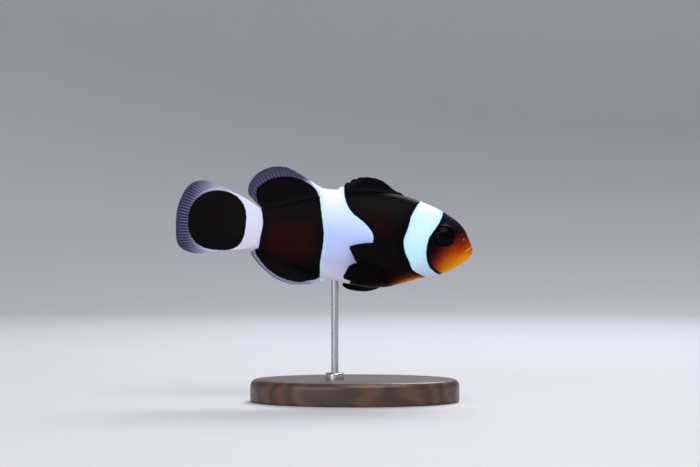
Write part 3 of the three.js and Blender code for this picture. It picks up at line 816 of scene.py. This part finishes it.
def lathe(name, outline, columns, squash=1.0, x=0.0, closed=True):
    """A ring or solid turned about a vertical line at x; outline runs up the outside."""
    outline = np.array(outline, float)
    a = np.arange(columns) / columns * 2 * math.pi
    r, z = outline[:, :1], outline[:, 1:]
    points = np.stack([x + r * np.cos(a), squash * r * np.sin(a), z + 0 * a], -1).reshape(-1, 3)
    ob = mesh_object(name, points, ring_quads(len(outline), columns, closed))
    ob.data.set_sharp_from_angle(angle=math.radians(35))
    return ob


def arc(x, z, r, start, stop, count=8):
    a = np.radians(np.linspace(start, stop, count))
    return list(np.stack([x + r * np.cos(a), z + r * np.sin(a)], -1))


ROD_X = -4.4
AXIS = 0.001  # a closed solid's outline stops this near to its axis
plinth = lathe("stand_plinth", [(AXIS, 0), *arc(22.4, 0.6, 0.6, -90, 0),
                                *arc(21.5, 3.5, 1.5, 0, 90, 12), (AXIS, 5)], 160, squash=30 / 46)
ferrule = lathe("stand_ferrule", [(0.81, 5), (2.1, 5), *arc(1.7, 5.98, 0.4, 0, 90),
                                  *arc(1.01, 6.2, 0.2, 90, 180)], 96, x=ROD_X)
rod_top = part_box("stand_rod")[1].z / MM + 0.45  # a little inside the belly
pin = lathe("stand_pin", [(AXIS, 2.4), (0.8, 2.4), (0.8, rod_top), (AXIS, rod_top)], 64, x=ROD_X)

# ---- materials ----


def tone(r, g, b):
    """A colour as seen on a screen (0 to 255), as the shaders take it."""
    c = np.array([r, g, b]) / 255
    return (*np.where(c < 0.04045, c / 12.92, ((c + 0.055) / 1.055) ** 2.4), 1.0)


class Value:
    """A number that a material works out at each point, with the usual signs for arithmetic."""

    def __init__(self, graph, socket):
        self.graph, self.socket = graph, socket

    def __add__(self, b):
        return self.graph.math("ADD", self, b)

    def __sub__(self, b):
        return self.graph.math("SUBTRACT", self, b)

    def __mul__(self, b):
        return self.graph.math("MULTIPLY", self, b)

    def __abs__(self):
        return self.graph.math("ABSOLUTE", self)


class Graph:
    """A material and short names for the nodes it is built from."""

    def __init__(self, name):
        self.material = bpy.data.materials.new(name)
        self.material.use_nodes = True
        self.tree = self.material.node_tree
        self.tree.nodes.clear()
        self.shader = self.node("BsdfPrincipled")
        out = self.node("OutputMaterial")
        self.tree.links.new(self.shader.outputs[0], out.inputs[0])

    def node(self, kind, inputs=None, **settings):
        made = self.tree.nodes.new("ShaderNode" + kind)
        for key, value in settings.items():
            setattr(made, key, value)
        for key, value in (inputs or {}).items():
            self.join(made.inputs[key], value)
        return made

    def join(self, socket, value):
        if isinstance(value, Value):
            value = value.socket
        if isinstance(value, bpy.types.NodeSocket):
            self.tree.links.new(value, socket)
        else:
            socket.default_value = value

    def set(self, **inputs):
        for key, value in inputs.items():
            self.join(self.shader.inputs[key.replace("_", " ")], value)

    def math(self, operation, a, b=0.0):
        return Value(self, self.node("Math", {0: a, 1: b}, operation=operation).outputs[0])

    def most(self, first, *others):
        """The largest of the values."""
        for other in others:
            first = self.math("MAXIMUM", first, other)
        return first

    def length(self, x, y):
        return self.math("SQRT", x * x + y * y)

    def ramp(self, x, low, high, start=0.0, end=1.0):
        values = {"Value": x, "From Min": low, "From Max": high, "To Min": start, "To Max": end}
        return Value(self, self.node("MapRange", values, interpolation_type="SMOOTHSTEP").outputs[0])

    def mix(self, t, a, b):
        """From colour a to colour b; either may be red, green and blue as seen on a screen."""
        a, b = (tone(*c) if isinstance(c, tuple) else c for c in (a, b))
        return self.node("Mix", {0: t, 6: a, 7: b}, data_type="RGBA").outputs[2]

    def noise(self, at, scale, detail=2.0, rough=0.5):
        inputs = {"Vector": at, "Scale": scale, "Detail": detail, "Roughness": rough}
        return Value(self, self.node("TexNoise", inputs).outputs[0])

    def colours(self, x, *stops):
        """A colour by x, through stops of x, red, green and blue."""
        made = self.node("ValToRGB", {0: x})
        while len(made.color_ramp.elements) < len(stops):
            made.color_ramp.elements.new(0.5)
        for element, (at, *colour) in zip(made.color_ramp.elements, stops):
            element.position = at
            element.color = tone(*colour)
        return made.outputs[0]

    def parts(self, vector):
        return [Value(self, part) for part in self.node("SeparateXYZ", {0: vector}).outputs]

    def vector(self, x, y):
        return self.node("CombineXYZ", {0: x, 1: y}).outputs[0]

    def map(self, name):
        """The two values that a mesh carries under a map's name."""
        return self.parts(self.node("UVMap", uv_map=name).outputs[0])[:2]

    def place(self, stretch=(1, 1, 1)):
        """The point's own coordinates in millimetres, and each of them."""
        own = self.node("TexCoord").outputs["Object"]
        mm = self.node("VectorMath", {0: own, 1: [c / MM for c in stretch]}, operation="MULTIPLY").outputs[0]
        return mm, *self.parts(mm)

    def finish(self, colour, rough, height, strength, distance=0.00005, **more):
        """Joins colour, roughness and bump to the shader, and returns the material."""
        bump = self.node("Bump", {"Height": height, "Strength": strength, "Distance": distance})
        self.set(Base_Color=colour, Roughness=rough, Normal=bump.outputs[0], **more)
        return self.material


def fish_colour(g):
    """The colour of skin and scales, and how white it is, from the place on the fish."""
    at, x, _, h = g.place()
    s = x * -1.0
    broad, middling, fine = g.noise(at, 0.35), g.noise(at, 1.1, 3.0), g.noise(at, 4.5)
    head, middle = g.map("Bands")
    tail, _ = g.map("Tail")
    near = g.most(head, middle, tail) + (middling * 0.2 + fine * 0.06 - 0.13)
    white = g.ramp(near, -0.06, 0.07)

    # Face: yellow chin, orange cheek, dark brow with a painted violet sheen, a painted highlight on the lip
    # and two orange nostrils.
    tint = middling * 0.1 + g.noise(at, 6.0, 3.0, 0.7) * 0.16 - s * 0.085 - h * 0.098 + 0.64
    tint = tint - g.ramp(s, 6.0, 9.2, 0.0, 0.15) - g.ramp(s, 4.4, 2.6) * g.ramp(h, -2.4, -0.4, 0.0, 0.09)
    face = g.colours(tint, (0.0, 14, 4, 7), (0.1, 30, 7, 8), (0.2, 62, 14, 5), (0.32, 104, 24, 2),
                     (0.5, 154, 54, 0), (0.67, 206, 100, 0), (0.82, 243, 150, 0), (1.0, 254, 190, 16))
    # Painted sheen: the dark brow takes a violet tint that stands in for blue light reflected off the
    # forehead.
    face = g.mix(g.ramp(h, 1.4, 5.6) * g.ramp(tint, 0.36, -0.1), face, (25, 16, 36))
    # Painted reflection: a paler mauve patch on the top of the snout.
    face = g.mix(g.ramp(h, 0.6, 2.2, 0.0, 0.55) * g.ramp(s, 2.6, 1.2), face, (66, 40, 48))
    (s1, h1), (s2, h2) = MOUTH[1:]
    length = math.hypot(s2 - s1, h2 - h1)
    under = (s - s1) * ((h1 - h2) / length) + (h - h1) * ((s2 - s1) / length) + 0.2
    # Painted highlight: a pale orange line just under the mouth's crease.
    lip_highlight = g.ramp(abs(under), 0.22, 0.04, 0.0, 0.45) * g.ramp(s, 2.0, 1.5)
    face = g.mix(lip_highlight, face, (252, 172, 84))
    for (s0, h0), dot in zip(NOSTRILS, ((112, 46, 18), (206, 96, 14))):
        face = g.mix(g.ramp(g.length(s - s0, h - h0), 0.4, 0.05, 0.0, 0.68), face, dot)

    # Breast: an orange keel that darkens upwards and towards the fins; its brightest yellow-orange along the
    # lower edge is painted light from below.
    keel = h + s * 0.33 + middling + 3.6
    breast = g.colours(keel * 0.25, (0.0, 255, 156, 0), (0.09, 216, 104, 0), (0.21, 122, 46, 2),
                       (0.42, 52, 14, 4), (0.66, 10, 4, 4))
    breast = g.mix(g.ramp(s, 12.5, 18.5), breast, (8, 4, 6))

    # Flanks: black, with a maroon glow behind the middle band and a fainter one before it.
    rear_glow = g.ramp(abs(h + 1.9), 6.2, 1.2) * g.ramp(s, 32.8, 37.5) * g.ramp(s, 49, 44)
    front_glow = g.ramp(abs(h - 3.2), 4.5, 0.8) * g.ramp(s, 16, 21, 0.0, 0.4) * g.ramp(s, 33, 29)
    glow = g.most(rear_glow, front_glow) * (broad + 0.35)
    flank = g.mix(glow, (5, 3, 5), (40, 4, 2))
    low = g.ramp(h, -4.2, -5.6) * g.ramp(s, 24, 19)
    colour = g.mix(g.ramp(s, 10.2, 11.2), face, g.mix(low, flank, breast))
    off_keel = g.ramp(h, -5.4, -6.4, 0.0, -1.0) * g.ramp(s, 9.5, 10.5) + 1.0
    colour = g.mix(g.ramp(near, -1.0, -0.4) * off_keel, colour, (5, 3, 6))

    # White: cyan on the head, lavender on the middle band, pinkish on the tail stem, with cyan rims; each
    # band is paler towards its top, painted light from above over its own tint.
    # Painted light from above: by height, the band colours run from tinted low down to near white at the
    # top.
    level = h * 0.05 + 0.55
    first = g.colours(level, (0.2, 222, 226, 246), (0.35, 202, 244, 254), (0.84, 218, 251, 254),
                      (0.95, 252, 254, 254))
    second = g.colours(level, (0.03, 250, 240, 252), (0.26, 196, 202, 240), (0.55, 188, 204, 254),
                       (0.8, 218, 234, 254), (1.0, 252, 252, 254))
    third = g.colours(level, (0.45, 226, 216, 236), (0.72, 220, 222, 243))
    rearward = g.ramp(s, 38, 45)
    milk = g.mix(g.ramp(s, 14, 24), first, g.mix(rearward, second, third))
    milk = g.mix(g.ramp(g.noise(at, 1.3), 0.4, 0.75, 0.0, 0.1), milk, (170, 192, 236))
    rim = g.mix(rearward, (176, 236, 254), (182, 206, 250))
    milk = g.mix(g.ramp(near, 1.1, 0.1, 0.0, 0.5), milk, rim)
    return g.mix(white, colour, milk), white, at


def flesh_material(name, plated=False):
    """The skin's look. Plates have fine grooves and a barely paler rear edge too, a painted highlight."""
    g = Graph(name)
    colour, white, at = fish_colour(g)
    height = g.noise(at, 7.0, 3.0, 0.6)
    if plated:
        across, rearward = g.map("Plate")
        grooves = g.math("SINE", g.math("ARCTAN2", across - 0.5, rearward + 0.35) * 46.0)
        height = grooves * 0.09 + g.noise(at, 8.0)
        # Painted highlight: the plate's rear edge is mixed a little towards a pale blue-grey.
        paler = g.mix(0.5, colour, (206, 214, 236))
        colour = g.mix(g.ramp(rearward, 0.7, 0.98) * 0.008, colour, paler)
    rough = g.noise(at, 0.9, 3.0) * 0.16 + 0.34 + white * 0.06
    return g.finish(colour, rough, height, 0.2, Specular_IOR_Level=0.04)


def fin_material(name, paired=False):
    g = Graph(name)
    base, white, at = fish_colour(g)
    x, v = g.map("Ray")
    split1, split2 = g.map("Split")
    _, disc = g.map("Tail")
    veil, pale = g.map("Veil")
    # Distance to the nearest ray, in ray spacings, as the mesh has it.
    gap = abs(g.math("FRACT", x) - 0.5)
    gap = abs(gap - split1 * g.ramp(v, 0.3, 0.85))
    gap = abs(gap - split2 * g.ramp(v, 0.55, 1.0))
    thin = g.ramp(v, 0.5, 1.0, 0.17, 0.085) * (split2 * -3.2 + 1.0)
    ray = g.ramp(g.math("DIVIDE", gap, thin), 0.55, 1.0, 1.0, 0.0)
    disc = disc + (g.noise(at, 1.6, 3.0) * 0.2 - 0.1)
    black = g.ramp(disc, -0.07, 0.07)
    if paired:
        white = 0.0
    line = g.ramp(disc, -0.55, -0.4) * pale
    dark = g.mix(g.ramp(g.noise(at, 0.4), 0.45, 0.7, 0.0, 0.25), (5, 3, 5), (24, 5, 4))
    # Painted highlight: faint bluish-grey streaks along the outer parts of the spiny dorsal fin's spines.
    spines = ray * g.ramp(v, 0.5, 0.95, 0.0, 0.15) * g.ramp(pale, 0.9, 1.0)
    dark = g.mix(spines, dark, (92, 94, 120))
    clear = g.mix(pale, (42, 41, 64), (190, 194, 230))
    plain = ray * g.ramp(veil, 0.71, 0.84) * g.ramp(disc, -3.0, -0.3, 0.4, 1.0)
    clear = g.mix(plain, clear, g.mix(pale, (112, 109, 152), (222, 226, 248)))
    clear = g.mix(line, clear, (206, 210, 244))
    colour = g.mix(black, g.mix(white, clear, base), dark)
    alpha = g.most(black, white, line, ray * 0.75, veil)
    height = ray + g.math("SINE", v * 150.0) * ray * 0.12  # rays are jointed
    rough = g.noise(at, 1.5) * 0.2 + 0.36
    return g.finish(colour, rough, height, 0.15, Alpha=alpha, Specular_IOR_Level=0.05)


def eye_material():
    g = Graph("fish_eye")
    _, x, _, z = g.place()
    r, angle = g.length(x, z), g.math("ARCTAN2", z, x)
    streak = g.noise(g.vector(r * 0.8, angle * 5.0), 2.4, 3.0)
    iris = g.mix(g.ramp(streak, 0.35, 0.7), (3, 2, 4), (10, 6, 7))
    iris = g.mix(g.ramp(r, 1.5, 2.1), iris, (5, 3, 5))
    iris = g.mix(g.ramp(r, 1.22, 1.1) * 0.4, iris, (26, 17, 13))
    colour = g.mix(g.ramp(r, 1.08, 1.02), iris, (3, 3, 5))
    return g.finish(colour, g.ramp(streak, 0.2, 0.8, 0.16, 0.3), streak, 0.15, 0.00004,
                    Specular_IOR_Level=0.03, Coat_Weight=0.04, Coat_Roughness=0.12, Coat_IOR=1.33)


def wood_material():
    g = Graph("stand_wood")
    at, *_ = g.place((0.35, 1, 1))
    warp = g.vector(0.0, g.noise(at, 0.07, 3.0) * 14.0)
    moved = g.node("VectorMath", {0: at, 1: warp}, operation="ADD").outputs[0]
    wave = {"Vector": moved, "Scale": 0.11, "Distortion": 3.0, "Detail": 3.0, "Detail Scale": 1.2}
    rings = g.node("TexWave", wave, wave_type="BANDS", bands_direction="Y").outputs["Fac"]
    fibre = g.noise(g.place((0.12, 1, 1))[0], 3.2, 4.0, 0.6)
    colour = g.mix(rings, (58, 35, 22), (92, 60, 38))
    colour = g.mix(g.ramp(fibre, 0.52, 0.75, 0.0, 0.7), colour, (34, 19, 12))
    return g.finish(colour, g.ramp(fibre, 0.3, 0.7, 0.36, 0.52), fibre, 0.25, 0.00006,
                    Coat_Weight=0.3, Coat_Roughness=0.2)


def steel_material():
    g = Graph("stand_steel")
    lines = g.noise(g.place((1, 1, 0.05))[0], 9.0, 3.0, 0.6)
    colour = g.mix(lines, (168, 171, 176), (206, 208, 212))
    return g.finish(colour, g.ramp(lines, 0.3, 0.7, 0.2, 0.34), lines, 0.15, 0.00002, Metallic=1.0)


def floor_material():
    g = Graph("studio_floor")
    at, *_ = g.place((0.02, 0.02, 0.02))
    g.set(Base_Color=g.mix(g.noise(at, 1.0), (206, 207, 211), (209, 210, 214)), Roughness=0.75)
    return g.material


def cover(ob, *looks):
    for i, look in enumerate(looks):
        if i < len(ob.data.materials):
            ob.data.materials[i] = look
        else:
            ob.data.materials.append(look)


skin_looks = [flesh_material("fish_skin"), fin_material("fish_fins"), fin_material("fish_paired_fins", True)]
scales_look, eye_look = flesh_material("fish_scales", True), eye_material()
steel_look, wood_look = steel_material(), wood_material()
FLESH = ["head", "lower_jaw", "gill_cover_left", "gill_cover_right", "trunk", "tail_stem", "tail_fin",
         "dorsal_fin_spiny", "dorsal_fin_soft", "anal_fin", "pectoral_fin_left", "pectoral_fin_right",
         "pelvic_fin_left", "pelvic_fin_right"]
# Each piece with its looks, its material slot and the nodes it stands for.
PIECES = [(skin, skin_looks, "black_skin", FLESH),
          (eyes[1], [eye_look], "eye", ["eye_left"]), (eyes[-1], [eye_look], "eye", ["eye_right"]),
          (plinth, [wood_look], "stand_wood", ["stand_base"]),
          (ferrule, [steel_look], "stand_steel", ["stand_collar"]),
          (pin, [steel_look], "stand_steel", ["stand_rod"]), (coat[0], [scales_look], "orange_skin", []),
          (coat[1], [scales_look], "black_skin", []), (coat[2], [scales_look], "black_skin", [])]
for piece, looks, slot, nodes in PIECES:
    cover(piece, *looks)
    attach(piece, "root")
    if nodes:
        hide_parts(*nodes)

# ---- stage, light and camera ----

FLAT, WALL, TOP = 480, 800, 1100  # radii of the floor and of the wall round it, and its height
sweep = lathe("studio_sweep", [(0.5, 0), *arc(FLAT, WALL - FLAT, WALL - FLAT, -90, 0, 24), (WALL, TOP)],
              96, closed=False)
cover(sweep, floor_material())
FISH_MIDDLE = np.array([-0.004, 0, 0.032])


def area_light(name, place, size, watts, colour):
    """A square lamp that is aimed at the fish."""
    data = bpy.data.lights.new(name, "AREA")
    data.shape, data.size, data.energy, data.color = "SQUARE", size, watts, colour
    d = FISH_MIDDLE - place
    yaw, drop = math.atan2(d[0], -d[1]), math.atan2(math.hypot(d[0], d[1]), -d[2])
    turned = Matrix.Rotation(yaw, 4, "Z") @ Matrix.Rotation(-drop, 4, "X")
    placed(name, data).matrix_world = Matrix.Translation(place) @ turned


area_light("key", (0.12, -0.3, 0.5), 0.36, 2.0, (1.0, 0.98, 0.96))
area_light("fill", (-0.3, -0.5, 0.22), 0.4, 1.2, (0.95, 0.97, 1.0))
area_light("rim", (0.1, 0.32, 0.42), 0.25, 2.0, (0.92, 0.93, 1.0))

world = bpy.data.worlds.new("studio")
bpy.context.scene.world = world
world.use_nodes = True
sky = world.node_tree.nodes["Background"].inputs
sky[0].default_value, sky[1].default_value = (0.86, 0.9, 1.0, 1), 0.15
bpy.context.scene.view_settings.view_transform = "Standard"

camera = placed("camera", bpy.data.cameras.new("camera"))
camera.data.lens, camera.data.sensor_width = 100, 36
camera.location = (-0.00106, -0.428, 0.037)
camera.rotation_euler = (math.pi / 2, 0, 0)
bpy.context.scene.camera = camera
